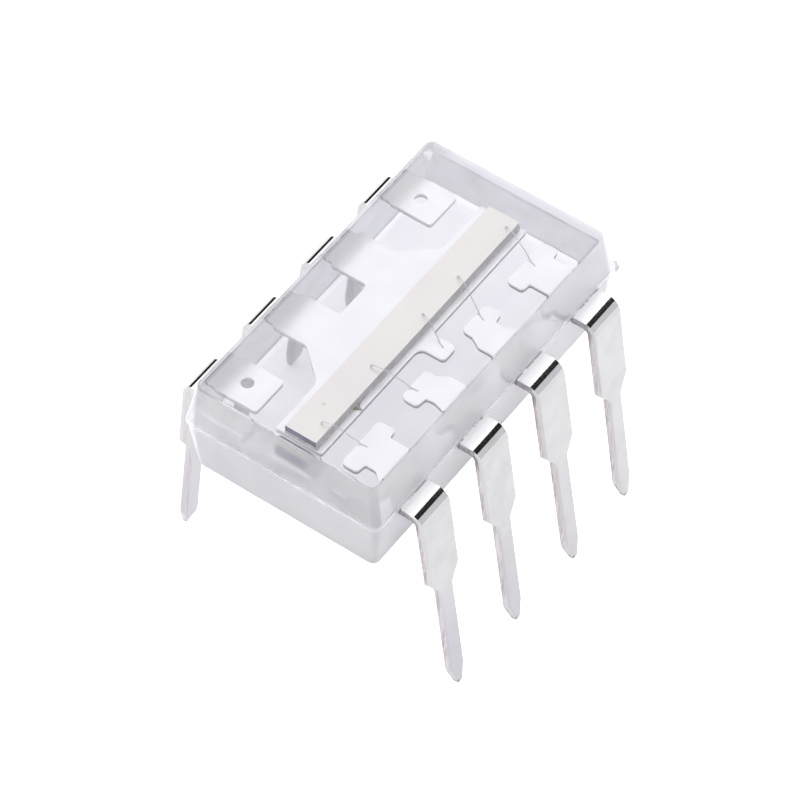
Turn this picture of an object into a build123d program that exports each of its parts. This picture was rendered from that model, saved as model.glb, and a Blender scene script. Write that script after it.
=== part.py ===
from build123d import *
import math
import os

os.makedirs("parts", exist_ok=True)

# Eight-pin dual in-line package moulded in clear epoxy, holding one long narrow
# sensor die. X runs across the package from row to row, Y along its length,
# Z up. The origin is under the middle of the package, on the plane that the
# lead tips stand on. All sizes are in millimetres.

# ---- standard grid ----
pitch = 2.54              # lead to lead along a row
row_y = [-1.5 * pitch, -0.5 * pitch, 0.5 * pitch, 1.5 * pitch]

# ---- lead stamping ----
lead_t = 0.25             # strip thickness
lead_w = 1.13             # wide part outside the body
lead_n = 0.46             # narrow part
tip_w = 0.19              # blunt end of the tip
bend_x = 3.78             # outer faces of the two rows at the bend, each side
bend_r = 0.42             # outer radius of the bend
wide_end = 2.68           # down the leg: end of the wide part
neck_end = 3.18           # down the leg: end of the shoulder taper
taper_start = 6.48        # down the leg: start of the tip taper
# outward lean of each leg from the vertical, degrees, from the -Y end
right_splay = [6.6, 7.2, 8.0, 7.5]
left_splay = [6.2, 7.0, 8.0, 6.9]

# ---- moulded body ----
part_z = 7.05             # parting plane = top face of the lead frame
top_h = 1.35              # parting plane to the window face
bottom_h = 1.85           # parting plane to the underside
band_h = 0.10             # half height of the land on the parting line
top_w, top_l = 5.65, 10.30
mid_w, mid_l = 6.10, 10.66
bot_w, bot_l = 5.70, 10.32
corner_r = 0.22           # upright corners
edge_c = 0.07             # soft edge round the two end faces
gate_w, gate_h, gate_out = 0.34, 0.16, 0.13   # broken-off gate on one corner

# ---- inside the body ----
pad_in = -1.41            # inner edge of the two free leads' pads (left row)
pad_half = 0.615
pad_hole = (-2.15, 0.18)  # x and radius of the locking hole, at y = +/-1.5 pitch
paddle_l = -0.71          # left and right edges of the die paddle
paddle_r = 0.735
paddle_y = 4.52
die_w, die_l, die_t = 0.97, 8.94, 0.40
die_x = 0.045
glue_t = 0.03
wire_d = 0.03


# ------------------------------------------------------------------ helpers
def plate(points, radii):
    """A flat piece of the lead frame: the outline's top face is the parting plane."""
    outline = make_face(FilletPolyline(*points, radius=radii, close=True))
    up = outline if outline.faces()[0].normal_at().Z > 0 else -outline
    flat = extrude(Pos(0, 0, part_z - lead_t) * up, amount=lead_t, dir=(0, 0, 1))
    return flat


def leg(y, splay):
    """Shoulder, bend and leg of a right-row lead, from the end of its flat plate down."""
    a = math.radians(splay)
    turn = math.pi / 2 - a
    run = bend_r * math.tan(turn / 2)          # corner to either end of the bend
    cx, cz = bend_x - run, part_z - bend_r     # centre of the bend
    inner_r = bend_r - lead_t

    def on(r, th):
        return (cx + r * math.sin(th), cz + r * math.cos(th))

    with BuildSketch(Plane.XZ) as sector:
        with BuildLine():
            Polyline((cx, part_z - lead_t), (cx, part_z))
            ThreePointArc(on(bend_r, 0), on(bend_r, turn / 2), on(bend_r, turn))
            Polyline(on(bend_r, turn), on(inner_r, turn))
            ThreePointArc(on(inner_r, turn), on(inner_r, turn / 2), on(inner_r, 0))
        make_face()
    bend = Pos(0, y, 0) * extrude(sector.sketch, amount=lead_w / 2, both=True)

    tip = (part_z - lead_t * math.sin(a)) / math.cos(a)
    face = Plane(
        origin=(bend_x, y, part_z), x_dir=(0, 1, 0), z_dir=(math.cos(a), 0, math.sin(a))
    )
    w, n, e = lead_w / 2, lead_n / 2, tip_w / 2
    side = [(w, run), (w, wide_end), (n, neck_end), (n, taper_start), (e, tip)]
    radii = [0, 0.05, 0.10, 0.12, 0.03]
    points = [(p, -s) for p, s in side] + [(-p, -s) for p, s in reversed(side)]
    outline = make_face(FilletPolyline(*points, radius=radii + radii[::-1], close=True))
    blade = extrude(face * outline, amount=lead_t, dir=tuple(-face.z_dir))
    return bend, blade, cx


def whole(*pieces):
    """One solid from pieces that meet face to face."""
    body = pieces[0]
    for piece in pieces[1:]:
        body = body + piece
    body = body.clean()
    solids = body.solids()
    assert len(solids) == 1, len(solids)
    return solids[0]


def save(solid, name, colour):
    solid.label = name
    solid.color = Color(*colour)
    export_step(solid, f"parts/{name}.step")
    print(name, "volume", round(solid.volume, 4), "valid", solid.is_valid)


def flip_y(points):
    return [(x, -y) for x, y in points]


# ------------------------------------------------------- right row, four leads
# Each has a T-shaped bond finger inside the body. The two middle ones have a
# shorter head. Both outlines are for the +Y half; the -Y half is its mirror.
def outer_finger(cx):
    s = lead_w / 2
    y = row_y[3]
    points = [
        (1.27, 2.80), (1.80, 2.80), (1.83, 3.09), (2.55, 3.09), (2.80, y - s), (cx, y - s),
        (cx, y + s), (2.45, y + s + 0.03), (2.16, 4.14), (1.83, 4.14), (1.79, 4.46), (1.29, 4.46),
    ]
    radii = [0.17, 0.11, 0.07, 0.10, 0.05, 0, 0, 0.12, 0.16, 0.07, 0.13, 0.17]
    return points, radii


def inner_finger(cx):
    s = lead_w / 2
    y = row_y[2]
    points = [
        (1.28, 0.80), (1.62, 0.79), (1.95, 0.60), (2.58, 0.60), (2.80, y - s), (cx, y - s),
        (cx, y + s), (2.72, y + s), (2.32, 1.57), (2.08, 1.51), (1.84, 1.53), (1.79, 1.88),
        (1.29, 1.88),
    ]
    radii = [0.16, 0.12, 0.12, 0.08, 0.05, 0, 0, 0.08, 0.18, 0.12, 0.07, 0.13, 0.18]
    return points, radii


right = {}
for i, y in enumerate(row_y):
    bend, blade, cx = leg(y, right_splay[i])
    points, radii = (outer_finger if i in (0, 3) else inner_finger)(cx)
    if y < 0:
        points, radii = flip_y(points)[::-1], radii[::-1]
    right[i + 1] = whole(plate(points, radii), bend, blade)

# ---------------------------------- left row: two free corner leads with pads
left = {}
s = lead_w / 2
for i, pin in ((3, 5), (0, 8)):
    y = row_y[i]
    bend, blade, cx = leg(y, left_splay[i])
    points = [
        (-pad_in, y - pad_half), (2.72, y - pad_half), (2.78, y - s), (cx, y - s),
        (cx, y + s), (2.78, y + s), (2.72, y + pad_half), (-pad_in, y + pad_half),
    ]
    pad = plate(points, [0.10, 0.03, 0.03, 0, 0, 0.03, 0.03, 0.10])
    hole = Pos(-pad_hole[0], y * 0.993, part_z) * Cylinder(pad_hole[1], 3 * lead_t)
    left[pin] = whole(pad - hole, bend, blade).mirror(Plane.YZ)

# ------------- die paddle with its two middle left leads, one continuous stamping
t = row_y[2]
legs = [leg(y, left_splay[i]) for i, y in ((1, row_y[1]), (2, row_y[2]))]
cx_lo, cx_hi = -legs[0][2], -legs[1][2]
tab_x, tab_y = 1.50, 0.28
gap_x, gap_y, out_y = -1.57, 0.60, 1.93
points = [
    (paddle_r, -paddle_y), (paddle_r, -tab_y), (tab_x, -tab_y), (tab_x, tab_y),
    (paddle_r, tab_y), (paddle_r, paddle_y), (paddle_l, paddle_y), (paddle_l, 2.74),
    (-1.66, out_y), (-2.72, out_y), (-2.80, t + s), (cx_hi, t + s), (cx_hi, t - s),
    (-2.80, t - s), (-2.72, gap_y), (gap_x, gap_y), (gap_x, -gap_y), (-2.72, -gap_y),
    (-2.80, -t + s), (cx_lo, -t + s), (cx_lo, -t - s), (-2.80, -t - s), (-2.72, -out_y),
    (-1.66, -out_y), (paddle_l, -2.74), (paddle_l, -paddle_y),
]
radii = [
    0.06, 0.24, 0.13, 0.13, 0.14, 0.06, 0.06, 0.45,
    0.30, 0.03, 0.03, 0, 0,
    0.03, 0.03, 0.14, 0.14, 0.03,
    0.03, 0, 0, 0.03, 0.03,
    0.18, 0.45, 0.06,
]
paddle = plate(points, radii)
bent = [piece.mirror(Plane.YZ) for one in legs for piece in one[:2]]
paddle = whole(paddle, *bent)

# --------------------------------------------------------- die and its adhesive
die_top = part_z + glue_t + die_t
die = Pos(die_x, 0, part_z + glue_t + die_t / 2) * Box(die_w, die_l, die_t)
with BuildPart() as bead:
    with BuildSketch(Plane.XY.offset(part_z)):
        with Locations((die_x, 0)):
            RectangleRounded(die_w + 0.13, die_l + 0.11, 0.05)
    extrude(amount=glue_t)
glue = bead.part.solids()[0]

# --------------------------------------------------------------- bonding wires
# Each wire leaves its ball on the die upwards, turns over and comes down to the
# stitch on its finger. Straight runs joined by arcs.
die_pads = {4: (0.36, 4.12), 3: (0.30, 2.03), "ground": (0.30, 0.48), 2: (0.22, -1.68), 1: (0.27, -3.88)}
stitches = {4: (1.56, 3.68), 3: (1.52, 1.42), "ground": (1.20, 0.08), 2: (1.50, -1.46), 1: (1.50, -3.66)}
ball_r, ball_h = 0.045, 0.03


def wire(pad, stitch):
    dx, dy = stitch[0] - pad[0], stitch[1] - pad[1]
    span = math.hypot(dx, dy)
    ux, uy = dx / span, dy / span
    r = wire_d / 2

    def at(u, h):
        return (pad[0] + ux * u, pad[1] + uy * u, part_z + h)

    top = glue_t + die_t
    route = [at(0, top + ball_h * 0.5), at(0, top + 0.20), at(0.34 * span, top + 0.19),
             at(span - 0.12, r * 1.02), at(span + 0.03, r * 1.02)]
    path = FilletPolyline(*route, radius=[0.07, 0.30, 0.12])
    start = Plane(origin=route[0], x_dir=(1, 0, 0), z_dir=(0, 0, 1))
    strand = sweep(start * Circle(r), path=path.wires()[0] if hasattr(path, "wires") else path)
    ball = Pos(pad[0], pad[1], part_z + top + ball_h / 2) * Cylinder(ball_r, ball_h)
    foot = Pos(*at(span, r * 1.02 / 2)) * Rot(0, 0, math.degrees(math.atan2(uy, ux))) * Box(
        0.10, 0.05, r * 1.02
    )
    body = whole(strand, ball, foot)
    print("  wire length", round(path.length, 3), "tube", round(strand.volume / (math.pi * r * r), 3))
    return body


wires = {k: wire(die_pads[k], stitches[k]) for k in die_pads}


# ------------------------------------------------------------------ clear body
def level(w, l, z, r):
    return Pos(0, 0, z) * RectangleRounded(w, l, r)


z0, z1, z2, z3 = part_z - bottom_h, part_z - band_h, part_z + band_h, part_z + top_h
slope = 0.9
stack = [
    (bot_w - 2 * edge_c, bot_l - 2 * edge_c, z0, corner_r - 0.03),
    (bot_w, bot_l, z0 + edge_c * slope, corner_r),
    (mid_w, mid_l, z1, corner_r),
    (mid_w, mid_l, z2, corner_r),
    (top_w, top_l, z3 - edge_c * slope, corner_r),
    (top_w - 2 * edge_c, top_l - 2 * edge_c, z3, corner_r - 0.03),
]
block = None
for low, high in zip(stack, stack[1:]):
    slab = loft([level(*low), level(*high)], ruled=True)
    block = slab if block is None else block + slab
gate = (
    Pos(mid_w / 2 - corner_r * 0.29, mid_l / 2 - corner_r * 0.29, part_z)
    * Rot(0, 0, 45)
    * Pos(gate_out / 2 - 0.05, 0, 0)
    * Box(gate_out + 0.1, gate_w, gate_h)
)
block = (block + gate).clean()
inner = list(right.values()) + list(left.values()) + [paddle, die, glue] + list(wires.values())
body = block
for piece in inner:
    body = body - piece
solids = body.solids()
print("body solids", len(solids), [round(x.volume, 4) for x in solids])
body = max(solids, key=lambda x: x.volume)

# ---------------------------------------------------------------------- output
save(body, "clear_epoxy_body", (0.92, 0.92, 0.95, 0.3))
for pin, solid in sorted(right.items()):
    save(solid, f"lead_pin_{pin}", (0.80, 0.80, 0.82))
for pin, solid in sorted(left.items()):
    save(solid, f"lead_pin_{pin}", (0.80, 0.80, 0.82))
save(paddle, "die_paddle_with_ground_leads", (0.85, 0.85, 0.87))
save(glue, "die_attach_adhesive", (0.75, 0.73, 0.70))
save(die, "sensor_die", (0.78, 0.74, 0.70))
for key, solid in wires.items():
    name = "bond_wire_ground" if key == "ground" else f"bond_wire_pin_{key}"
    save(solid, name, (0.85, 0.65, 0.25))
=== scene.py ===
import math

import bmesh
import bpy
from mathutils import Matrix, Vector, noise


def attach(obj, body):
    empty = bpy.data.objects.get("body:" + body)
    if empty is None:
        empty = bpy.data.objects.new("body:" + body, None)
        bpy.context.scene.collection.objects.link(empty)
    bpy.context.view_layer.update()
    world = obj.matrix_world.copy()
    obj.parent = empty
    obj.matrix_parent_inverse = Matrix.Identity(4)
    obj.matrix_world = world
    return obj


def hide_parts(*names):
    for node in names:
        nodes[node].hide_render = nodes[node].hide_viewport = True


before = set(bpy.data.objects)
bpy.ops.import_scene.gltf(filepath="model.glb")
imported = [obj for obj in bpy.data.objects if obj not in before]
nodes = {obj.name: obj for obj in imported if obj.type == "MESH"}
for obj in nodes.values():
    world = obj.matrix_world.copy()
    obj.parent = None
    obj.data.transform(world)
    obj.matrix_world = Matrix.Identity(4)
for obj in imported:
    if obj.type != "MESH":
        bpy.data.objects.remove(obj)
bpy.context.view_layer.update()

MM = 0.001

# ---- sizes repeated from the part's source, in millimetres ----
pitch = 2.54
row_y = [-3.81, -1.27, 1.27, 3.81]
lead_t, lead_w = 0.25, 1.13
bend_x, bend_r = 3.78, 0.42
part_z, top_h, bottom_h, band_h = 7.05, 1.35, 1.85, 0.10
top_w, top_l = 5.65, 10.30
mid_w, mid_l = 6.10, 10.66
bot_w, bot_l = 5.70, 10.32
corner_r, edge_c = 0.22, 0.07
gate_w, gate_h, gate_out = 0.34, 0.16, 0.13
paddle_l, paddle_r = -0.71, 0.735
die_w, die_l, die_t, die_x, glue_t = 0.97, 8.94, 0.40, 0.045, 0.03
z0, z1, z2, z3 = part_z - bottom_h, part_z - band_h, part_z + band_h, part_z + top_h


# ------------------------------------------------------------------ node helpers
class Mat:
    """A material and short calls for its nodes. All coordinates are in millimetres of the part's own frame."""

    def __init__(self, name):
        self.m = bpy.data.materials.new(name)
        self.m.use_nodes = True
        self.t = self.m.node_tree
        for n in list(self.t.nodes):
            self.t.nodes.remove(n)
        self.out = self.t.nodes.new("ShaderNodeOutputMaterial")
        self.p = self.t.nodes.new("ShaderNodeBsdfPrincipled")
        self.t.links.new(self.p.outputs[0], self.out.inputs["Surface"])
        tc = self.t.nodes.new("ShaderNodeTexCoord")
        self.pos = self.scale(tc.outputs["Object"], (1000, 1000, 1000))
        s = self.t.nodes.new("ShaderNodeSeparateXYZ")
        self.link(self.pos, s.inputs[0])
        self.x, self.y, self.z = s.outputs
        g = self.t.nodes.new("ShaderNodeNewGeometry")
        s = self.t.nodes.new("ShaderNodeSeparateXYZ")
        self.link(g.outputs["Normal"], s.inputs[0])
        self.nx, self.ny, self.nz = s.outputs

    def link(self, a, b):
        self.t.links.new(a, b)

    def put(self, value, socket):
        if hasattr(value, "links") or isinstance(value, bpy.types.NodeSocket):
            self.link(value, socket)
        else:
            socket.default_value = value

    def scale(self, v, k):
        n = self.t.nodes.new("ShaderNodeVectorMath")
        n.operation = "MULTIPLY"
        self.put(v, n.inputs[0])
        n.inputs[1].default_value = k
        return n.outputs[0]

    def shift(self, v, k):
        n = self.t.nodes.new("ShaderNodeVectorMath")
        n.operation = "ADD"
        self.put(v, n.inputs[0])
        n.inputs[1].default_value = k
        return n.outputs[0]

    def math(self, op, a, b=0.0, c=0.0, clamp=False):
        n = self.t.nodes.new("ShaderNodeMath")
        n.operation = op
        n.use_clamp = clamp
        self.put(a, n.inputs[0])
        self.put(b, n.inputs[1])
        self.put(c, n.inputs[2])
        return n.outputs[0]

    def ramp(self, v, lo, hi, a=0.0, b=1.0, smooth=True):
        n = self.t.nodes.new("ShaderNodeMapRange")
        n.interpolation_type = "SMOOTHSTEP" if smooth else "LINEAR"
        n.clamp = True
        self.put(v, n.inputs["Value"])
        n.inputs["From Min"].default_value = lo
        n.inputs["From Max"].default_value = hi
        n.inputs["To Min"].default_value = a
        n.inputs["To Max"].default_value = b
        return n.outputs["Result"]

    def noise(self, scale, detail=3.0, rough=0.55, stretch=(1, 1, 1), offset=(0, 0, 0), distort=0.0):
        n = self.t.nodes.new("ShaderNodeTexNoise")
        v = self.pos
        if offset != (0, 0, 0):
            v = self.shift(v, offset)
        if stretch != (1, 1, 1):
            v = self.scale(v, stretch)
        self.link(v, n.inputs["Vector"])
        n.inputs["Scale"].default_value = scale
        n.inputs["Detail"].default_value = detail
        n.inputs["Roughness"].default_value = rough
        n.inputs["Distortion"].default_value = distort
        return n.outputs["Fac"]

    def cells(self, scale, stretch=(1, 1, 1), feature="F1"):
        n = self.t.nodes.new("ShaderNodeTexVoronoi")
        n.feature = feature
        v = self.pos if stretch == (1, 1, 1) else self.scale(self.pos, stretch)
        self.link(v, n.inputs["Vector"])
        n.inputs["Scale"].default_value = scale
        return n.outputs["Distance"]

    def mix(self, f, a, b):
        n = self.t.nodes.new("ShaderNodeMix")
        n.data_type = "RGBA"
        self.put(f, n.inputs["Factor"])
        for v, s in ((a, n.inputs[6]), (b, n.inputs[7])):
            if isinstance(v, bpy.types.NodeSocket):
                self.link(v, s)
            else:
                s.default_value = (*v, 1.0)
        return n.outputs[2]

    def bump(self, height, strength, distance_mm, after=None):
        n = self.t.nodes.new("ShaderNodeBump")
        n.inputs["Strength"].default_value = strength
        n.inputs["Distance"].default_value = distance_mm * MM
        self.link(height, n.inputs["Height"])
        if after is not None:
            self.link(after, n.inputs["Normal"])
        return n.outputs[0]

    def spot(self, at, radius, soft=0.5):
        """1 inside a ball round a point, fading to 0 at its edge."""
        n = self.t.nodes.new("ShaderNodeVectorMath")
        n.operation = "DISTANCE"
        self.link(self.pos, n.inputs[0])
        n.inputs[1].default_value = at
        return self.ramp(n.outputs["Value"], radius * (1 - soft), radius, 1.0, 0.0)

    def set(self, **kw):
        for k, v in kw.items():
            s = self.p.inputs[k.replace("_", " ")]
            if isinstance(v, bpy.types.NodeSocket):
                self.link(v, s)
            elif isinstance(v, tuple):
                s.default_value = (*v, 1.0) if len(v) == 3 and s.type == "RGBA" else v
            else:
                s.default_value = v


def give(obj, material):
    obj.data.materials.clear()
    obj.data.materials.append(material)
    for p in obj.data.polygons:
        p.material_index = 0


# ---------------------------------------------------------------------- epoxy
def epoxy():
    """Clear epoxy: polished window face, matt moulded sides and underside, faint tint by depth."""
    m = Mat("clear_epoxy")
    top = m.ramp(m.z, 8.355, 8.392)
    low = m.ramp(m.z, 5.21, 5.245, 1.0, 0.0)
    flat = m.math("MAXIMUM", top, low)
    side = m.math("SUBTRACT", 1.0, flat)
    land = m.math("MULTIPLY", side, m.ramp(m.math("ABSOLUTE", m.math("SUBTRACT", m.z, 7.05)), 0.09, 0.11, 1.0, 0.0))
    haze = m.noise(0.9, 3.0)
    cloud = m.noise(0.7, 3.0, offset=(2.0, 5.0, 1.0))
    # fine scratches on the near end face
    scr = m.t.nodes.new("ShaderNodeTexWave")
    scr.wave_type, scr.bands_direction = "BANDS", "Z"
    m.link(m.scale(m.pos, (1.6, 1.0, 5.5)), scr.inputs["Vector"])
    scr.inputs["Scale"].default_value = 1.6
    scr.inputs["Distortion"].default_value = 5.0
    scr.inputs["Detail"].default_value = 3.0
    near = m.math("MULTIPLY", m.spot((-2.25, -5.25, 6.45), 0.55, 0.6), m.ramp(scr.outputs["Fac"], 0.88, 0.96))
    # the matt sides scatter part of the light back, so they look milky
    milk = m.ramp(haze, 0.3, 0.7, 0.20, 0.28)
    # painted highlight: the parting land is made milkier, so a light line runs along the parting line
    milk = m.math("ADD", milk, m.math("MULTIPLY", land, 0.12))
    milk = m.math("ADD", milk, m.math("MULTIPLY", near, 0.4))
    stub = m.ramp(m.math("ADD", m.x, m.y), 8.26, 8.34)
    milk = m.math("ADD", milk, m.math("MULTIPLY", stub, 0.5))
    clear = m.math("SUBTRACT", 1.0, m.math("MULTIPLY", side, milk))
    clear = m.math("SUBTRACT", clear, m.math("MULTIPLY", low, 0.24))
    tint = m.mix(m.ramp(cloud, 0.35, 0.68), (0.880, 0.876, 0.905), (0.840, 0.837, 0.885))
    # painted shade and light: the near and right walls take a darker copy of the tint, the far and left walls keep
    # the lighter one
    painted_light_walls = m.math("MAXIMUM", m.ramp(m.y, 4.9, 5.1), m.ramp(m.x, -2.80, -2.65, 1.0, 0.0))
    tint = m.mix(painted_light_walls, m.scale(tint, (0.815, 0.813, 0.82)), tint)
    m.set(Base_Color=m.mix(stub, tint, (0.50, 0.50, 0.51)), Transmission_Weight=clear, IOR=1.53)
    # painted light: the far and left matt walls glow, standing in for light that wanders about inside the matt wall
    m.set(
        Emission_Color=(0.96, 0.96, 1.0),
        Emission_Strength=m.math("MULTIPLY", m.math("MULTIPLY", painted_light_walls, m.math("SUBTRACT", side, stub)), m.ramp(haze, 0.3, 0.7, 0.14, 0.18)),
    )
    r = m.math("ADD", 0.03, m.math("MULTIPLY", m.ramp(haze, 0.35, 0.7), 0.03))
    r = m.math("ADD", r, m.math("MULTIPLY", side, m.ramp(m.z, 6.6, 7.3, 0.36, 0.27)))
    r = m.math("SUBTRACT", r, m.math("MULTIPLY", land, 0.10))
    m.set(Roughness=r)
    wave = m.noise(0.55, 2.0, 0.5)
    peel = m.noise(7.0, 3.0, 0.6)
    b = m.bump(wave, 0.22, 0.010)
    b = m.bump(m.math("MULTIPLY", peel, side), 0.10, 0.003, b)
    b = m.bump(near, 0.9, 0.012, b)
    m.set(Normal=b)
    v = m.t.nodes.new("ShaderNodeVolumeAbsorption")
    v.inputs["Color"].default_value = (0.90, 0.898, 0.911, 1.0)
    v.inputs["Density"].default_value = 240.0
    m.link(v.outputs[0], m.out.inputs["Volume"])
    return m.m


# --------------------------------------------------------------- tinned strip
def tin():
    """Tinned strip: bright faces, sheared edges with a burnished and a torn zone, cut tip ends."""
    m = Mat("tinned_lead")
    d = m.t.nodes.new("ShaderNodeAttribute")
    d.attribute_name = "depth"
    u = m.t.nodes.new("ShaderNodeAttribute")
    u.attribute_name = "along"
    depth, along = d.outputs["Fac"], u.outputs["Fac"]
    edge = m.math("MULTIPLY", m.ramp(depth, 0.10, 0.16), m.ramp(depth, 0.94, 0.99, 1.0, 0.0))
    streak = m.noise(2.6, 4.0, 0.6, stretch=(7, 7, 0.45))
    fleck = m.noise(16.0, 3.0, 0.6, stretch=(1, 1, 0.5))
    torn = m.math("ADD", depth, m.math("MULTIPLY", m.math("SUBTRACT", streak, 0.5), 0.7))
    torn = m.math("MULTIPLY", m.math("MULTIPLY", edge, m.ramp(torn, 0.34, 0.52)), m.ramp(m.x, -1.0, 1.0, 0.45, 1.0))
    cloud = m.noise(1.3, 3.0)
    smear = m.noise(0.8, 2.0, stretch=(1, 1, 0.4), offset=(3.1, 0.7, 0.2))
    inside = m.ramp(m.math("ABSOLUTE", m.x), 2.95, 3.05, 1.0, 0.0)
    face = m.mix(m.ramp(cloud, 0.3, 0.7), (0.475, 0.473, 0.481), (0.440, 0.435, 0.450))
    face = m.mix(m.math("MULTIPLY", m.ramp(smear, 0.5, 0.7), 0.5), face, (0.490, 0.472, 0.504))
    plate = m.mix(m.ramp(cloud, 0.3, 0.7), (0.925, 0.925, 0.92), (0.90, 0.90, 0.895))
    face = m.mix(inside, face, plate)
    # painted shade: the legs darken towards their feet, and more so towards the near end of the package
    face = m.mix(m.math("MULTIPLY", m.ramp(m.z, 1.8, 4.6, 0.75, 0.0), m.ramp(m.y, -4.2, 3.0, 1.0, 0.1)), face, (0.395, 0.380, 0.425))
    # painted highlight: the flat shoulders just outside the body get a much lighter colour than the legs
    shoulder_painted_light = m.math("MULTIPLY", m.ramp(m.z, 6.98, 7.03), m.math("SUBTRACT", 1.0, inside))
    face = m.mix(shoulder_painted_light, face, (0.80, 0.80, 0.81))
    side = m.mix(m.ramp(streak, 0.30, 0.70), (0.30, 0.26, 0.285), (0.58, 0.535, 0.56))
    side = m.mix(m.math("MULTIPLY", m.ramp(fleck, 0.5, 0.75), 0.5), side, (0.70, 0.66, 0.68))
    col = m.mix(torn, face, side)
    tip = m.ramp(m.z, 0.02, 0.16, 1.0, 0.0)
    mid = m.math("SUBTRACT", m.math("MODULO", m.math("ADD", m.y, 2 * pitch), pitch), pitch / 2)
    low_side = m.math("MULTIPLY", m.ramp(mid, -0.035, 0.02, 1.0, 0.0), m.ramp(m.z, 0.05, 0.13, 1.0, 0.0))
    tip = m.math("MAXIMUM", m.math("MULTIPLY", tip, m.ramp(depth, 0.12, 0.4, 0.0, 1.0)), low_side)
    col = m.mix(m.math("MULTIPLY", tip, 0.92), col, (0.055, 0.045, 0.05))
    ax = m.math("ABSOLUTE", m.x)
    dash = m.ramp(m.noise(5.0, 2.0), 0.42, 0.52)
    flash = m.math("MULTIPLY", m.ramp(ax, 3.04, 3.06), m.ramp(ax, 3.11, 3.13, 1.0, 0.0))
    col = m.mix(m.math("MULTIPLY", flash, m.math("MULTIPLY", dash, 0.7)), col, (0.20, 0.16, 0.22))
    film = m.math("MULTIPLY", m.ramp(ax, 3.06, 3.08), m.ramp(m.math("ADD", ax, m.math("MULTIPLY", fleck, 0.1)), 3.26, 3.32, 1.0, 0.0))
    col = m.mix(m.math("MULTIPLY", film, 0.15), col, (0.42, 0.38, 0.44))
    m.set(Base_Color=col, Metallic=1.0)
    rough = m.math("ADD", 0.055, m.math("MULTIPLY", m.ramp(cloud, 0.35, 0.75), 0.03))
    rough = m.math("ADD", rough, m.math("MULTIPLY", torn, 0.25))
    rough = m.math("ADD", rough, m.math("MULTIPLY", inside, 0.26))
    rough = m.math("ADD", rough, m.math("MULTIPLY", m.math("MULTIPLY", shoulder_painted_light, m.ramp(ax, 3.35, 3.55, 1.0, 0.0)), 0.30))
    m.set(Roughness=rough)
    outside = m.math("SUBTRACT", 1.0, inside)
    b = m.bump(m.math("MULTIPLY", streak, outside), 0.22, 0.004)
    b = m.bump(m.math("MULTIPLY", fleck, outside), 0.10, 0.003, b)
    m.set(Normal=b)
    return m.m


# ------------------------------------------------------------------ silicon die
def die():
    m = Mat("sensor_die")
    wide = m.noise(0.35, 2.0, stretch=(0.4, 1, 1))
    top = m.ramp(m.nz, 0.7, 0.9)
    face = m.mix(m.ramp(wide, 0.38, 0.62), (0.800, 0.770, 0.725), (0.800, 0.788, 0.735))
    fleck = m.ramp(m.noise(26.0, 2.0), 0.68, 0.76)
    face = m.mix(m.math("MULTIPLY", fleck, 0.18), face, (0.50, 0.46, 0.42))
    # aluminium bond pads: small dots, each with a darker rim
    for px, py in ((0.36, 4.12), (0.30, 2.03), (0.30, 0.48), (0.22, -1.68), (0.27, -3.88), (-0.05, -3.35)):
        face = m.mix(m.math("MULTIPLY", m.spot((px, py, 7.48), 0.055, 0.2), 0.45), face, (0.36, 0.30, 0.28))
        face = m.mix(m.spot((px, py, 7.48), 0.036, 0.2), face, (0.70, 0.66, 0.62))
    side = m.mix(m.noise(8.0, 3.0), (0.50, 0.48, 0.50), (0.68, 0.65, 0.67))
    # painted shade: the die's end face towards the near end is painted nearly black-blue in blotches
    end = m.ramp(m.ny, -0.9, -0.7, 1.0, 0.0)
    painted_shade_blot = m.mix(m.ramp(m.noise(3.0, 2.0), 0.4, 0.6), (0.03, 0.03, 0.09), (0.14, 0.14, 0.26))
    side = m.mix(end, side, painted_shade_blot)
    m.set(Base_Color=m.mix(top, side, face), Metallic=top)
    m.set(Roughness=m.math("ADD", 0.26, m.math("MULTIPLY", wide, 0.1)))
    m.set(Normal=m.bump(m.noise(14.0, 3.0), 0.08, 0.002))
    return m.m


def adhesive():
    m = Mat("adhesive")
    n = m.noise(7.0, 3.0)
    m.set(
        Base_Color=m.mix(
            m.math("MULTIPLY", m.spot((0.62, -2.80, 7.08), 0.20, 0.6), m.ramp(n, 0.35, 0.6, 0.5, 1.0)),
            m.mix(m.ramp(n, 0.35, 0.65), (0.78, 0.77, 0.75), (0.60, 0.58, 0.56)), (0.30, 0.25, 0.12),
        ),
        Roughness=m.math("ADD", 0.35, m.math("MULTIPLY", n, 0.2)),
        Normal=m.bump(n, 0.4, 0.01),
    )
    return m.m


def gold():
    m = Mat("bond_wire_metal")
    n = m.noise(20.0, 2.0)
    m.set(
        Base_Color=m.mix(n, (0.95, 0.945, 0.94), (0.89, 0.88, 0.87)),
        Metallic=m.ramp(n, 0.3, 0.7, 0.5, 0.7),
        Roughness=m.math("ADD", 0.40, m.math("MULTIPLY", n, 0.15)),
    )
    return m.m


# ------------------------------------------------------------ body's outer skin
def ring(w, l, z, r, seg=9):
    """Points of a rounded rectangle at height z, anticlockwise from the +x side."""
    out = []
    for cx, cy, a0 in ((1, 1, 0), (-1, 1, 90), (-1, -1, 180), (1, -1, 270)):
        for k in range(seg + 1):
            a = math.radians(a0 + 90 * k / seg)
            out.append(
                (cx * (w / 2 - r) + r * math.cos(a), cy * (l / 2 - r) + r * math.sin(a), z)
            )
    return out


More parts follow.
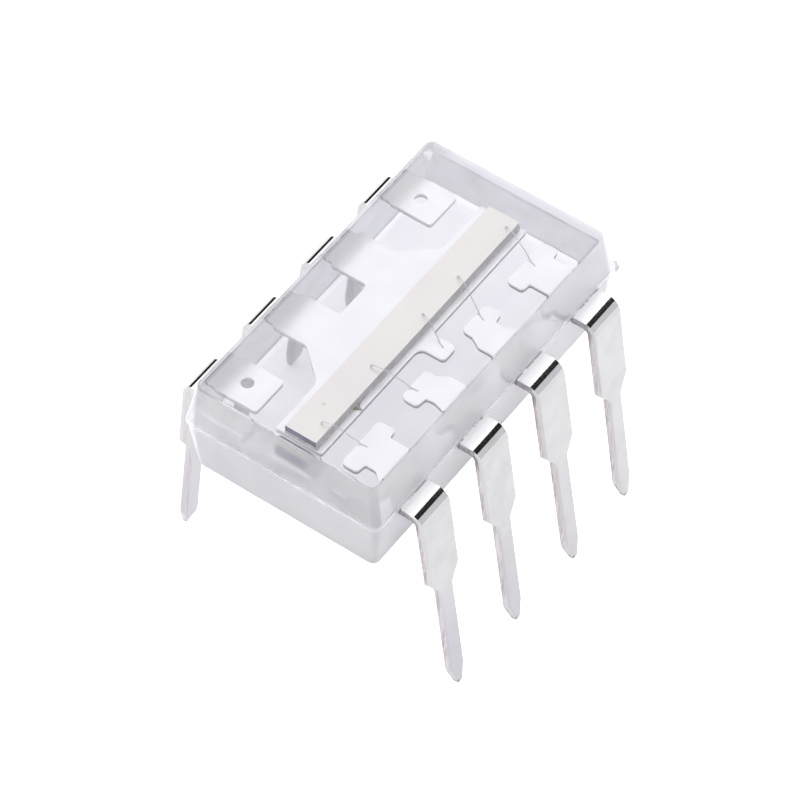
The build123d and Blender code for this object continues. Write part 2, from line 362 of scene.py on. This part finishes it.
def skin():
    levels = []
    n = 5
    for k in range(n + 1):                       # underside edge
        a = math.radians(90 * k / n)
        c = edge_c * (1 - math.sin(a))
        levels.append((bot_w - 2 * c, bot_l - 2 * c, z0 + edge_c * 0.9 * (1 - math.cos(a)), corner_r - 0.4 * c))
    for k in range(7):                           # rounded land on the parting line
        a = math.radians(180 * k / 6)
        c = 0.030 * math.sin(a)
        levels.append((mid_w + 2 * c, mid_l + 2 * c, part_z - band_h * math.cos(a), corner_r + c))
    for k in range(n + 1):                       # window face edge
        a = math.radians(90 * k / n)
        c = edge_c * (1 - math.cos(a))
        levels.append((top_w - 2 * c, top_l - 2 * c, z3 - edge_c * 0.9 * (1 - math.sin(a)), corner_r - 0.4 * c))
    bm = bmesh.new()
    rings = []
    for w, l, z, r in levels:
        rings.append([bm.verts.new(Vector(p) * MM) for p in ring(w, l, z, r)])
    count = len(rings[0])
    wall = {}
    for k, (a, b) in enumerate(zip(rings, rings[1:])):
        for i in range(count):
            j = (i + 1) % count
            wall[k, i] = bm.faces.new((a[i], a[j], b[j], b[i]))
    bm.faces.new(list(reversed(rings[0])))
    bm.faces.new(rings[-1])
    bmesh.ops.recalc_face_normals(bm, faces=bm.faces)
    # what is left of the moulding gate: a small broken-off stub on one corner
    root = [wall[k, i] for k in range(n + 2, n + 6) for i in range(1, 8)]
    for step in (0.35, 1.0):
        out = bmesh.ops.extrude_face_region(bm, geom=root)
        fresh = [g for g in out["geom"] if isinstance(g, bmesh.types.BMVert)]
        bmesh.ops.delete(bm, geom=root, context="FACES")
        root = [g for g in out["geom"] if isinstance(g, bmesh.types.BMFace)]
        face = (mid_w + mid_l) / 2 / math.sqrt(2) - 2 * corner_r * (math.sqrt(2) - 1) / 2 + gate_out * step
        for v in fresh:
            p = v.co / MM
            along, across = (p.x + p.y) / math.sqrt(2), (p.y - p.x) / math.sqrt(2)
            centre = (mid_l - mid_w) / 2 / math.sqrt(2)
            across = centre + (across - centre) * (1.0 if step < 1 else 0.90)
            rough = 0.0 if step < 1 else 0.035 * noise.noise(Vector((across * 9, p.z * 11, 3.0)))
            along = face + rough
            z = part_z + (p.z - part_z) * (1.0 if step < 1 else 0.86)
            v.co = Vector(((along - across) / math.sqrt(2), (along + across) / math.sqrt(2), z)) * MM
    bmesh.ops.recalc_face_normals(bm, faces=bm.faces)
    me = bpy.data.meshes.new("epoxy_skin")
    bm.to_mesh(me)
    bm.free()
    ob = bpy.data.objects.new("epoxy_skin", me)
    bpy.context.scene.collection.objects.link(ob)
    for p in me.polygons:
        p.use_smooth = True
    sharpen(me, 4.0)
    wn = ob.modifiers.new("weighted", "WEIGHTED_NORMAL")
    wn.keep_sharp = True
    wn.weight = 100
    return ob


def sharpen(me, degrees):
    """Marks edges between faces that turn by more than this as sharp."""
    bm = bmesh.new()
    bm.from_mesh(me)
    for e in bm.edges:
        e.smooth = not (len(e.link_faces) == 2 and e.calc_face_angle(0) > math.radians(degrees) and
                        min(f.calc_area() for f in e.link_faces) > 0.3e-6)
    bm.to_mesh(me)
    bm.free()


body = skin()
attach(body, "root")
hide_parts("clear_epoxy_body")
give(body, epoxy())

# ------------------------------------------- lead frame pieces, cut flat and bent
# Each outline lies in the flat strip: u runs outwards from the middle of the
# package and on down the leg, y along the package. Then it is bent to shape.
lead_n, tip_w = 0.46, 0.19
wide_end, neck_end, taper_start = 2.68, 3.18, 6.48
right_splay = [6.6, 7.2, 8.0, 7.5]
left_splay = [6.2, 7.0, 8.0, 6.9]
pad_in, pad_half, pad_hole = -1.41, 0.615, (-2.15, 0.18)
paddle_y, tab_x, tab_y = 4.52, 1.50, 0.28
gap_x, gap_y, out_y = -1.57, 0.60, 1.93


def bend_of(splay):
    a = math.radians(splay)
    turn = math.pi / 2 - a
    run = bend_r * math.tan(turn / 2)
    cx = bend_x - run
    arc = bend_r * turn
    tip = (part_z - lead_t * math.sin(a)) / math.cos(a)
    return a, turn, run, cx, arc, tip


def bent(u, h, splay):
    """x outwards and z of a point u along the strip's outer face and h below it."""
    a, turn, run, cx, arc, tip = bend_of(splay)
    if u <= cx:
        return u, part_z - h
    if u <= cx + arc:
        th = (u - cx) / bend_r
        return cx + (bend_r - h) * math.sin(th), part_z - bend_r + (bend_r - h) * math.cos(th)
    s = run + (u - cx - arc)
    return bend_x + s * math.sin(a) - h * math.cos(a), part_z - s * math.cos(a) - h * math.sin(a)


def leg_side(y, splay, sign):
    """Outline of a leg in the flat strip, from the wide part to the tip, on one side, with corner radii."""
    a, turn, run, cx, arc, tip = bend_of(splay)
    d = cx + arc - run
    w, n, e = lead_w / 2, lead_n / 2, tip_w / 2
    pts = [(wide_end + d, w), (neck_end + d, n), (taper_start + d, n), (tip + d, e)]
    return [(u, y + sign * q) for u, q in pts], [0.05, 0.10, 0.12, 0.035]


def rounded(points, radii, seg=5):
    """The closed outline with each corner turned into an arc."""
    out = []
    n = len(points)
    for i in range(n):
        p, a, b = Vector(points[i]), Vector(points[i - 1]), Vector(points[(i + 1) % n])
        r = radii[i]
        da, db = (a - p).normalized(), (b - p).normalized()
        cosv = max(-1.0, min(1.0, da.dot(db)))
        half = math.acos(cosv) / 2
        if r <= 0 or half > math.pi / 2 - 0.02:
            out.append(tuple(p))
            continue
        cut = r / math.tan(half)
        cut = min(cut, 0.49 * min((a - p).length, (b - p).length))
        r = cut * math.tan(half)
        c = p + (da + db).normalized() * (r / math.sin(half))
        s0, s1 = p + da * cut - c, p + db * cut - c
        full = s0.angle_signed(s1)
        k = max(2, int(seg * abs(full) / (math.pi / 2) + 1))
        for j in range(k + 1):
            t = -full * j / k
            out.append((c.x + s0.x * math.cos(t) - s0.y * math.sin(t), c.y + s0.x * math.sin(t) + s0.y * math.cos(t)))
    return out


def strip(name, outline, holes, splay_at, side, splays):
    """A stamped strip: filled outline, rolled upper edge, sheared sides, bent by splay_at(y)."""
    bm = bmesh.new()
    loops = [outline] + holes
    edges = []
    for loop in loops:
        vs = [bm.verts.new((x, y, 0)) for x, y in loop]
        for i in range(len(vs)):
            edges.append(bm.edges.new((vs[i - 1], vs[i])))
    bmesh.ops.triangle_fill(bm, edges=edges, use_beauty=True, use_dissolve=False)
    for f in bm.faces:
        if f.normal.z < 0:
            f.normal_flip()
    low = bmesh.ops.duplicate(bm, geom=bm.faces[:])
    lowf = [g for g in low["geom"] if isinstance(g, bmesh.types.BMFace)]
    lowv = {v for f in lowf for v in f.verts}
    for v in lowv:
        v.co.z = -lead_t
    for f in lowf:
        f.normal_flip()
    top_edges = [e for e in bm.edges if e.is_boundary and e.verts[0] not in lowv]
    vm = {a: b for a, b in low["vert_map"].items() if a not in lowv and b in lowv}
    for e in top_edges:
        a, b = e.verts
        f0 = e.link_faces[0]
        order = [l.vert for l in f0.loops]
        i = order.index(a)
        if order[(i + 1) % len(order)] is b:
            a, b = b, a
        bm.faces.new((a, b, vm[b], vm[a]))
    bmesh.ops.recalc_face_normals(bm, faces=bm.faces)
    rim_top = [e for e in bm.edges if abs(e.verts[0].co.z) < 1e-6 and abs(e.verts[1].co.z) < 1e-6 and e.calc_face_angle(0) > 1.0]
    bmesh.ops.bevel(bm, geom=rim_top, offset=0.030, segments=3, profile=0.5, affect="EDGES", clamp_overlap=True)
    rim_low = [e for e in bm.edges if e.is_valid and abs(e.verts[0].co.z + lead_t) < 1e-6 and abs(e.verts[1].co.z + lead_t) < 1e-6 and e.calc_face_angle(0) > 1.0]
    bmesh.ops.bevel(bm, geom=rim_low, offset=0.010, segments=1, profile=0.5, affect="EDGES", clamp_overlap=True)
    for c in cuts_for(splays):
        bmesh.ops.bisect_plane(bm, geom=bm.verts[:] + bm.edges[:] + bm.faces[:], plane_co=(c, 0, 0), plane_no=(1, 0, 0), dist=1e-5)
    bmesh.ops.triangulate(bm, faces=[f for f in bm.faces if len(f.verts) > 4])
    layer = bm.verts.layers.float.new("depth")
    along = bm.verts.layers.float.new("along")
    flat = {}
    for v in bm.verts:
        v[layer] = -v.co.z / lead_t
        v[along] = v.co.x
        sp = splay_at(v.co.y)
        a, turn, run, cx, arc, tip = bend_of(sp)
        coin = max(0.0, min(1.0, (v.co.x - (tip + cx + arc - run - 0.36)) / 0.36))
        x, z = bent(v.co.x, -v.co.z * (1 - 0.5 * coin), sp)
        flat[v] = Vector((side * x, v.co.y, z)) * MM
    for v, p in flat.items():
        v.co = p
    bmesh.ops.recalc_face_normals(bm, faces=bm.faces)
    if bm.calc_volume(signed=True) < 0:
        bmesh.ops.reverse_faces(bm, faces=bm.faces)
    me = bpy.data.meshes.new(name)
    bm.to_mesh(me)
    bm.free()
    ob = bpy.data.objects.new(name, me)
    bpy.context.scene.collection.objects.link(ob)
    normals = [(0.0, 0.0, 0.0)] * len(me.loops)
    dv, uv = me.attributes["depth"].data, me.attributes["along"].data
    for p in me.polygons:
        p.use_smooth = True
        ds = [dv[v].value for v in p.vertices]
        sign = 1 if max(ds) < 1e-4 else -1 if min(ds) > 1 - 1e-4 else 0
        if not sign:
            continue
        for li in p.loop_indices:
            v = me.loops[li].vertex_index
            a, turn, run, cx, arc, tip = bend_of(splay_at(me.vertices[v].co.y / MM))
            th = max(0.0, min(turn, (uv[v].value - cx) / bend_r))
            if sign < 0 and uv[v].value > tip + cx + arc - run - 0.37:
                continue
            normals[li] = (sign * side * math.sin(th), 0.0, sign * math.cos(th))
    me.normals_split_custom_set(normals)
    return ob


def flip_y(points):
    return [(x, -y) for x, y in points]


def cuts_for(splays):
    out = []
    for sp in splays:
        a, turn, run, cx, arc, tip = bend_of(sp)
        out += [cx + arc * k / 14 for k in range(15)]
        out += [cx + arc + 0.35 * k for k in range(1, 19)]
        out += [tip + cx + arc - run - q for q in (0.36, 0.27, 0.18, 0.09)]
        out += [cx - 0.12, cx - 0.3]
    return sorted(set(round(c, 5) for c in out))


def outer_finger(cx):
    s, y = lead_w / 2, row_y[3]
    points = [
        (1.27, 2.80), (1.80, 2.80), (1.83, 3.09), (2.55, 3.09), (2.80, y - s), (cx, y - s),
        (cx, y + s), (2.45, y + s + 0.03), (2.16, 4.14), (1.83, 4.14), (1.79, 4.46), (1.29, 4.46),
    ]
    return points, [0.17, 0.11, 0.07, 0.10, 0.05, 0, 0, 0.12, 0.16, 0.07, 0.13, 0.17]


def inner_finger(cx):
    s, y = lead_w / 2, row_y[2]
    points = [
        (1.28, 0.80), (1.62, 0.79), (1.95, 0.60), (2.58, 0.60), (2.80, y - s), (cx, y - s),
        (cx, y + s), (2.72, y + s), (2.32, 1.57), (2.08, 1.51), (1.84, 1.53), (1.79, 1.88),
        (1.29, 1.88),
    ]
    return points, [0.16, 0.12, 0.12, 0.08, 0.05, 0, 0, 0.08, 0.18, 0.12, 0.07, 0.13, 0.18]


def with_leg(points, radii, i, y, splay, reverse=False):
    """Puts a leg's outline in place of the two straight ends at index i and i + 1."""
    down, rd = leg_side(y, splay, -1)
    up, ru = leg_side(y, splay, 1)
    legs = down + up[::-1]
    rads = rd + ru[::-1]
    if reverse:
        legs, rads = legs[::-1], rads[::-1]
    return points[:i] + legs + points[i + 2:], radii[:i] + rads + radii[i + 2:]


strips = {}
for i, y in enumerate(row_y):
    cx = bend_of(right_splay[i])[3]
    points, radii = (outer_finger if i in (0, 3) else inner_finger)(cx)
    if y < 0:
        points, radii = flip_y(points)[::-1], radii[::-1]
        at = next(k for k in range(len(points)) if abs(points[k][0] - cx) < 1e-9)
    else:
        at = next(k for k in range(len(points)) if abs(points[k][0] - cx) < 1e-9)
    points, radii = with_leg(points, radii, at, y, right_splay[i])
    strips[f"lead_pin_{i + 1}"] = strip(
        f"tinned_lead_{i + 1}", rounded(points, radii), [], lambda yy, s=right_splay[i]: s, 1, [right_splay[i]]
    )
s = lead_w / 2
for i, pin in ((3, 5), (0, 8)):
    y = row_y[i]
    cx = bend_of(left_splay[i])[3]
    points = [
        (-pad_in, y - pad_half), (2.72, y - pad_half), (2.78, y - s), (cx, y - s),
        (cx, y + s), (2.78, y + s), (2.72, y + pad_half), (-pad_in, y + pad_half),
    ]
    points, radii = with_leg(points, [0.10, 0.03, 0.03, 0, 0, 0.03, 0.03, 0.10], 3, y, left_splay[i])
    hole = [
        (-pad_hole[0] + pad_hole[1] * math.cos(2 * math.pi * k / 28), y * 0.993 + pad_hole[1] * math.sin(2 * math.pi * k / 28))
        for k in range(28)
    ]
    strips[f"lead_pin_{pin}"] = strip(
        f"tinned_lead_{pin}", rounded(points, radii), [hole], lambda yy, s=left_splay[i]: s, -1, [left_splay[i]]
    )
# the paddle is drawn with x turned round, so that u runs outwards on its two leads
t = row_y[2]
points = [
    (-paddle_r, -paddle_y), (-paddle_r, -tab_y), (-tab_x, -tab_y), (-tab_x, tab_y),
    (-paddle_r, tab_y), (-paddle_r, paddle_y), (-paddle_l, paddle_y), (-paddle_l, 2.74),
    (1.66, out_y), (2.72, out_y), (2.80, t + s), "hi",
    (2.80, t - s), (2.72, gap_y), (-gap_x, gap_y), (-gap_x, -gap_y), (2.72, -gap_y),
    (2.80, -t + s), "lo", (2.80, -t - s), (2.72, -out_y),
    (1.66, -out_y), (-paddle_l, -2.74), (-paddle_l, -paddle_y),
]
radii = [
    0.06, 0.24, 0.13, 0.13, 0.14, 0.06, 0.06, 0.45,
    0.30, 0.03, 0.03, None,
    0.03, 0.03, 0.14, 0.14, 0.03,
    0.03, None, 0.03, 0.03,
    0.18, 0.45, 0.06,
]
whole_p, whole_r = [], []
for p, r in zip(points, radii):
    if p in ("hi", "lo"):
        yy, sp = (t, left_splay[2]) if p == "hi" else (-t, left_splay[1])
        down, rd = leg_side(yy, sp, -1)
        up, ru = leg_side(yy, sp, 1)
        whole_p += up + down[::-1]
        whole_r += ru + rd[::-1]
    else:
        whole_p.append(p)
        whole_r.append(r)
strips["die_paddle_with_ground_leads"] = strip(
    "die_paddle_strip", rounded(whole_p, whole_r), [],
    lambda yy: left_splay[2] if yy > 0 else left_splay[1], -1, [left_splay[1], left_splay[2]],
)

# ------------------------------------------- adhesive squeezed out round the die
def bead():
    """Bead of die attach adhesive: an uneven fillet round the die's foot and one spike on the lead side."""
    bm = bmesh.new()
    hw, hl = die_w / 2, die_l / 2
    path = []
    for (ax, ay), (bx, by) in (((1, -1), (1, 1)), ((1, 1), (-1, 1)), ((-1, 1), (-1, -1)), ((-1, -1), (1, -1))):
        length = 2 * (hl if ax == bx else hw)
        k = max(6, int(length / 0.045))
        for q in range(k):
            f = q / k
            path.append((hw * (ax + (bx - ax) * f), hl * (ay + (by - ay) * f), (by - ay) / 2, -(bx - ax) / 2))
    rows = []
    for x, y, nx, ny in path:
        w = noise.noise(Vector((x * 1.7, y * 1.7, 0.4)))
        w2 = noise.noise(Vector((x * 5.3, y * 5.3, 7.4)))
        out = 0.035 + 0.020 * w + 0.012 * w2
        high = 0.075 + 0.03 * w
        if nx > 0:
            out += 0.175 * math.exp(-(((y + 2.80) / 0.045) ** 2)) + 0.04 * math.exp(-(((y + 2.80) / 0.16) ** 2))
            high += 0.05 * math.exp(-(((y + 2.80) / 0.10) ** 2))
        row = []
        for o, h in ((-0.02, high), (0.004, high), (0.30 * out, 0.45 * high), (0.65 * out, 0.22 * high), (out, 0.0), (-0.02, 0.0)):
            row.append(bm.verts.new(Vector((die_x + x + nx * o, y + ny * o, part_z + h)) * MM))
        rows.append(row)
    count = len(rows)
    for i in range(count):
        a, b = rows[i], rows[(i + 1) % count]
        for k in range(6):
            bm.faces.new((a[k], b[k], b[(k + 1) % 6], a[(k + 1) % 6]))
    bmesh.ops.recalc_face_normals(bm, faces=bm.faces)
    me = bpy.data.meshes.new("adhesive_bead")
    bm.to_mesh(me)
    bm.free()
    for p in me.polygons:
        p.use_smooth = True
    ob = bpy.data.objects.new("adhesive_bead", me)
    bpy.context.scene.collection.objects.link(ob)
    return ob


# ---------------------------------------------------------------- give finishes
tin_m, die_m, glue_m, gold_m = tin(), die(), adhesive(), gold()
for name, ob in strips.items():
    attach(ob, "root")
    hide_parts(name)
    give(ob, tin_m)
glue = bead()
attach(glue, "root")
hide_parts("die_attach_adhesive")
give(glue, glue_m)
for name, ob in nodes.items():
    if name == "sensor_die":
        give(ob, die_m)
    elif name.startswith("bond_wire"):
        give(ob, gold_m)

# ------------------------------------------------------------- floor and light
bm = bmesh.new()
bmesh.ops.create_grid(bm, x_segments=8, y_segments=8, size=0.9)
me = bpy.data.meshes.new("floor")
bm.to_mesh(me)
bm.free()
floor = bpy.data.objects.new("floor", me)
bpy.context.scene.collection.objects.link(floor)
fm = Mat("floor_paper")
grain = fm.noise(0.8, 3.0)
fm.set(
    Base_Color=fm.mix(grain, (0.62, 0.62, 0.62), (0.64, 0.64, 0.64)), Roughness=0.9, Specular_IOR_Level=0.1,
    Emission_Color=(1.0, 1.0, 1.0), Emission_Strength=0.64,
)
give(floor, fm.m)

# soft tent: bright overhead, a paler wall all round, and two dark gaps low on the far side
world = bpy.data.worlds.new("studio")
bpy.context.scene.world = world
world.use_nodes = True
wt = world.node_tree
wt.nodes.clear()


def wnode(kind, **kw):
    n = wt.nodes.new(kind)
    for k, v in kw.items():
        setattr(n, k, v)
    return n


def wmath(op, a, b=0.0, clamp=False):
    n = wnode("ShaderNodeMath", operation=op, use_clamp=clamp)
    for v, sck in ((a, n.inputs[0]), (b, n.inputs[1])):
        if isinstance(v, bpy.types.NodeSocket):
            wt.links.new(v, sck)
        else:
            sck.default_value = v
    return n.outputs[0]


def wramp(v, lo, hi, a=0.0, b=1.0):
    n = wnode("ShaderNodeMapRange", interpolation_type="SMOOTHSTEP")
    wt.links.new(v, n.inputs["Value"])
    for k, q in (("From Min", lo), ("From Max", hi), ("To Min", a), ("To Max", b)):
        n.inputs[k].default_value = q
    return n.outputs["Result"]


wo = wnode("ShaderNodeOutputWorld")
bg = wnode("ShaderNodeBackground")
tc = wnode("ShaderNodeTexCoord")
sep = wnode("ShaderNodeSeparateXYZ")
wt.links.new(tc.outputs["Generated"], sep.inputs[0])
dx, dy, dz = sep.outputs
light = wramp(dz, 0.60, 0.66, 1.20, 1.72)
behind = wmath("MULTIPLY", wramp(dy, 0.52, 0.62), wmath("MULTIPLY", wramp(dz, 0.5, 0.6, 1.0, 0.0), wramp(dx, 0.35, 0.45, 1.0, 0.0)))
left = wmath("MULTIPLY", wramp(dx, -0.62, -0.50, 1.0, 0.0), wmath("MULTIPLY", wramp(dz, 0.5, 0.6, 1.0, 0.0), wramp(dy, 0.1, 0.3, 1.0, 0.0)))
light = wmath("ADD", light, wmath("ADD", wmath("MULTIPLY", behind, 1.2), wmath("MULTIPLY", left, 0.9)))
gap_r = wmath("MULTIPLY", wramp(dx, 0.075, 0.095), wramp(dx, 0.60, 0.62, 1.0, 0.0))
gap_r = wmath("MULTIPLY", gap_r, wmath("MULTIPLY", wramp(dy, 0.40, 0.44), wramp(dy, 0.56, 0.60, 1.0, 0.0)))
gap_r = wmath("MULTIPLY", gap_r, wramp(dz, 0.58, 0.62))
gap_l = wmath("MULTIPLY", wramp(dx, -0.62, -0.56, 1.0, 0.0), wramp(dy, 0.30, 0.36))
gap_l = wmath("MULTIPLY", gap_l, wramp(dz, 0.36, 0.40, 1.0, 0.0))
dark = wmath("MAXIMUM", gap_r, gap_l)
light = wmath("MULTIPLY", light, wmath("SUBTRACT", 1.0, wmath("MULTIPLY", dark, 0.985)))
lp = wnode("ShaderNodeLightPath")
seen = wmath("MULTIPLY", lp.outputs["Is Camera Ray"], 1.0)
light = wmath("ADD", wmath("MULTIPLY", light, wmath("SUBTRACT", 1.0, seen)), seen)
wt.links.new(light, bg.inputs["Strength"])
bg.inputs["Color"].default_value = (1.0, 1.0, 1.003, 1.0)
wt.links.new(bg.outputs[0], wo.inputs[0])

# ----------------------------------------------------------------------- camera
cam = bpy.data.cameras.new("camera")
cam.sensor_width = 36.0
cam.lens = 4608.0425 / 800 * 36.0
cam.clip_start, cam.clip_end = 0.002, 10.0
eye = bpy.data.objects.new("camera", cam)
bpy.context.scene.collection.objects.link(eye)
right = Vector((0.8104286848, 0.5858322645, -0.0024299726))
down = Vector((0.4607703122, -0.6399711004, -0.6149208974))
ahead = Vector((-0.3617956140, 0.4972298749, -0.7885850526))
rot = Matrix((right, -down, -ahead)).transposed().to_4x4()
eye.matrix_world = Matrix.Translation(Vector((43.73145942, -60.23562601, 100.05731621)) * MM) @ rot
bpy.context.scene.camera = eye
bpy.context.scene.view_settings.view_transform = "Standard"

bpy.context.view_layer.update()
